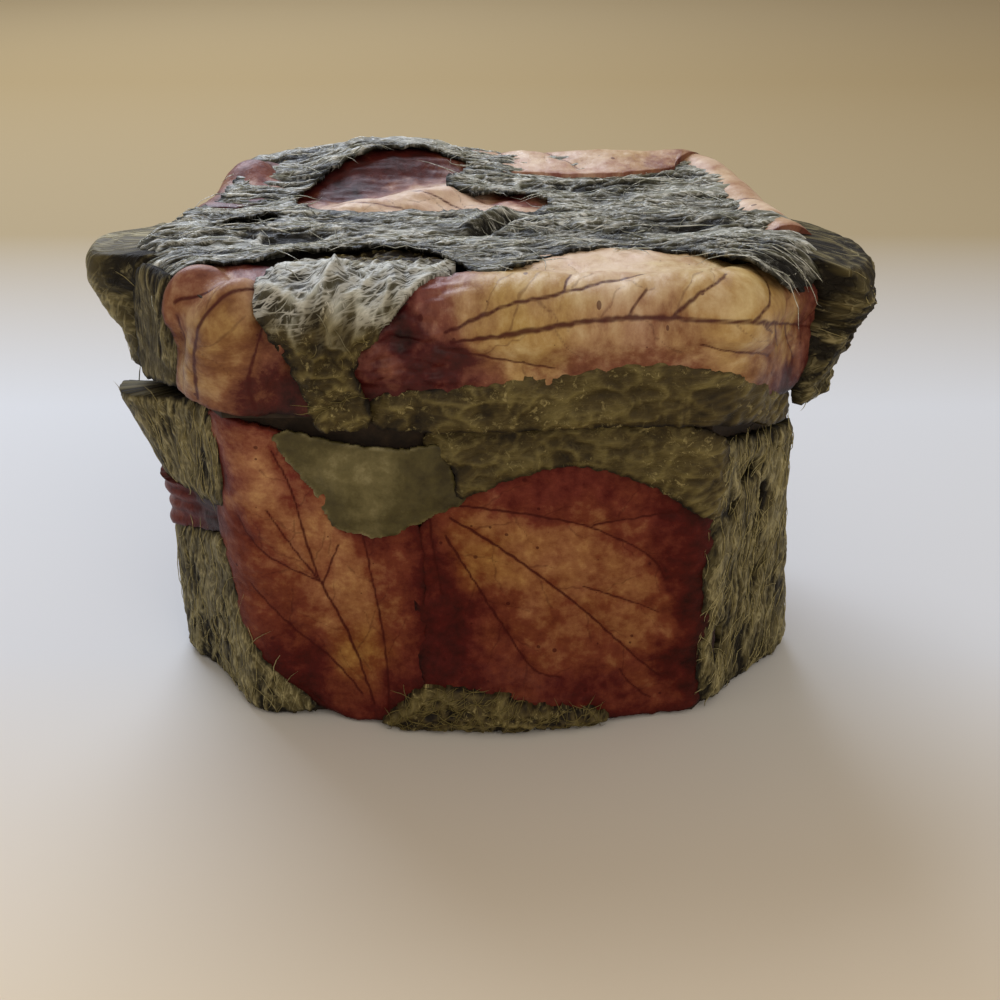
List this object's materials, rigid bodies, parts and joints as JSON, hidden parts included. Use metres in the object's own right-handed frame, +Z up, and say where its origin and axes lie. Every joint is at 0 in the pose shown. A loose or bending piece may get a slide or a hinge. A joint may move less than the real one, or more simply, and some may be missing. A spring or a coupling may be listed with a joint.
{
  "type": "trinket box",
  "caption": "Small six-sided trinket box with a lift-off lid, clad in torn bark sheets and pressed veined leaves, for keeping jewellery and keepsakes.",
  "frame": {"origin": "centre of the floor board's underside, on the table", "axes": "+Z up, -Y towards the front with the two red leaves, +X to the right seen from the front"},
  "size_m": [0.09, 0.0548, 0.0572],
  "materials": {
    "board": "plain kraft board",
    "bark": "dry fibrous bark, lightly varnished",
    "flap": "dry smooth leaf",
    "red_leaf": "pressed leaf, lightly varnished",
    "pale_leaf": "pressed leaf, lightly varnished"
  },
  "bodies": {
    "box": {"floor_board": "board", "left_wall": "board", "front_wall": "board", "right_wall": "board", "back_right_wall": "board", "back_wall": "board", "back_left_wall": "board", "front_left_leaf": "red_leaf", "front_right_leaf": "red_leaf", "front_flap_leaf": "flap", "front_rim_bark": "bark", "front_foot_bark": "bark", "left_upper_bark": "bark", "left_band_leaf": "red_leaf", "left_lower_bark": "bark", "right_bark": "bark", "back_right_leaf": "red_leaf", "back_right_bark": "bark", "back_upper_bark": "bark", "back_leaf": "red_leaf", "back_lower_bark": "bark", "back_left_leaf": "red_leaf", "back_left_bark": "bark"},
    "lid": {"lid_board": "board", "lid_left_rim": "board", "lid_front_rim": "board", "lid_right_rim": "board", "lid_back_right_rim": "board", "lid_back_rim": "board", "lid_back_left_rim": "board", "lid_corner_leaf": "pale_leaf", "lid_fold_bark": "bark", "lid_front_leaf": "pale_leaf", "lid_edge_bark": "bark", "lid_left_bark": "bark", "lid_left_lump": "bark", "lid_right_lump": "bark", "lid_back_right_leaf": "pale_leaf", "lid_back_leaf": "pale_leaf", "lid_back_bark": "bark", "lid_back_left_leaf": "pale_leaf", "lid_back_left_bark": "bark", "lid_top_bark": "bark", "lid_window_leaf": "pale_leaf"}
  },
  "joints": [
    {"name": "lid_lift", "type": "slide", "parent": "box", "child": "lid", "axis": [0, 0, 1], "range_m": [0, 0.07]}
  ]
}
